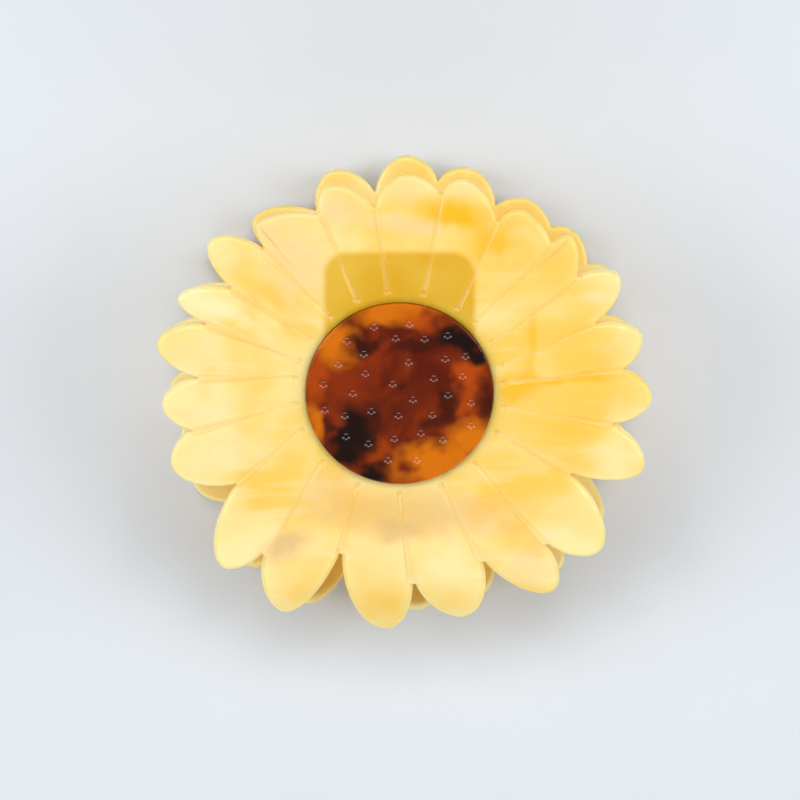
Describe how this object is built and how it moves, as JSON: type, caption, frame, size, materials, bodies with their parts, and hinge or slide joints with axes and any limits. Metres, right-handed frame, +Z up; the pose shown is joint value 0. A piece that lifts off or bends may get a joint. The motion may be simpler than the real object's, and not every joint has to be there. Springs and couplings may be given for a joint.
{
  "type": "flower hair clip",
  "caption": "Sprung claw clip: two flower-shaped acetate jaws with a dimpled centre disc, hinged on a pin, to grip hair.",
  "frame": {"origin": "centre of the rear centre disc's flat outer face, on which the clip lies on its back", "axes": "+X across the clip along the hinge pin, +Y to the handle ends of the jaws, +Z up from the rest face to the front flower"},
  "size_m": [0.0863, 0.0864, 0.0423],
  "materials": {
    "petal_acetate": "polished translucent marbled cellulose acetate, pale yellow with cream and golden clouds",
    "tortoiseshell": "polished tortoiseshell acetate, amber, red-brown and near black, with round dimples",
    "hinge_acetate": "polished golden acetate",
    "pin_steel": "plated steel",
    "spring_steel": "plated spring wire"
  },
  "bodies": {
    "rear_jaw": {"rear_flower": "petal_acetate", "rear_center_disc": "tortoiseshell", "rear_hinge_pad": "hinge_acetate", "rear_hinge_ear_left": "hinge_acetate", "rear_hinge_ear_right": "hinge_acetate", "hinge_pin": "pin_steel", "pin_retainer": "pin_steel", "torsion_spring": "spring_steel"},
    "front_jaw": {"front_flower": "petal_acetate", "front_center_disc": "tortoiseshell", "front_hinge_pad": "hinge_acetate", "front_hinge_ear_left": "hinge_acetate", "front_hinge_ear_right": "hinge_acetate"}
  },
  "joints": [
    {"name": "jaw_hinge", "type": "hinge", "parent": "rear_jaw", "child": "front_jaw", "pos_m": [0, 0.01166, 0.01968], "axis": [-1, 0, 0], "range_deg": [0, 40], "stiffness_Nm_per_rad": 0.16, "springref_deg": -34.38, "deforming": ["torsion_spring"]}
  ]
}
